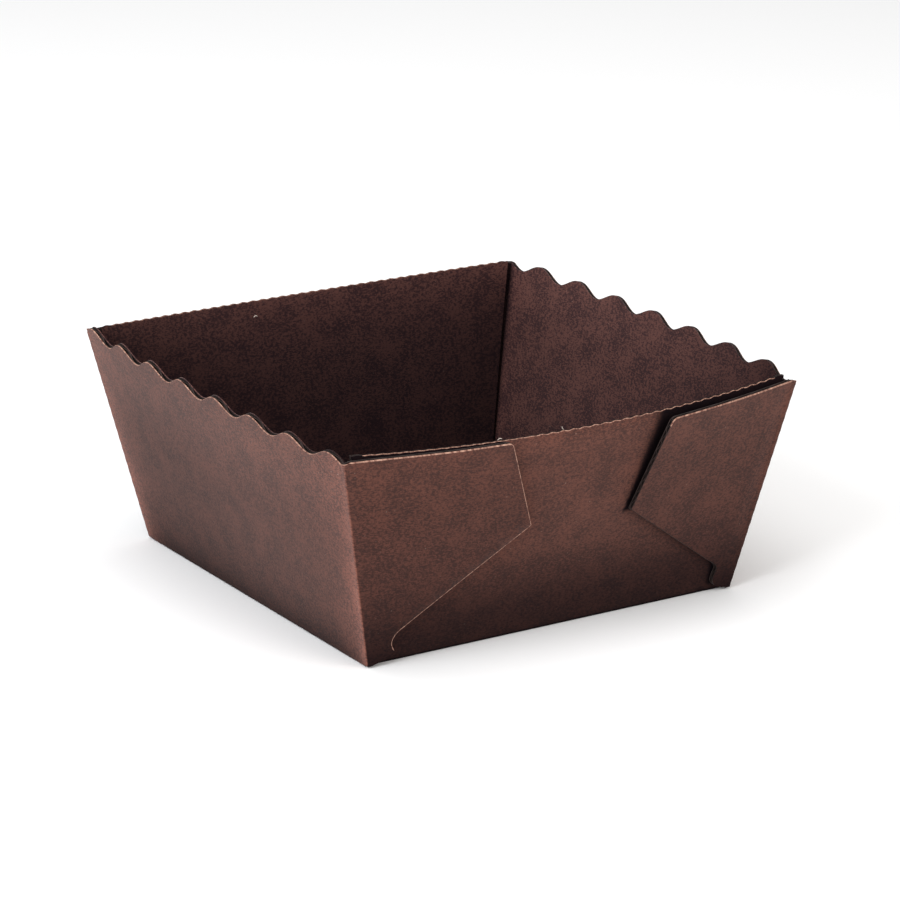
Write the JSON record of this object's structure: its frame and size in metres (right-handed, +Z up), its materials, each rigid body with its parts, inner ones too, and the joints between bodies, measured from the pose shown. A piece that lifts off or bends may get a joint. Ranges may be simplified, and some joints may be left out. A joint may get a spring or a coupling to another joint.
{
  "type": "paper baking mold",
  "caption": "Square flared baking mold folded from a sheet of brown micro-flute board, with scalloped side rims and glued corner flaps.",
  "frame": {"origin": "under the middle of the base, on the surface the mold stands on", "axes": "+X to the right along the front wall, +Y to the back, +Z up out of the open top"},
  "size_m": [0.1079, 0.1105, 0.0453],
  "materials": {
    "kraft_board": "uncoated dark brown kraft facings over a fluted middle"
  },
  "bodies": {
    "root": {"mold": "kraft_board"}
  },
  "joints": []
}
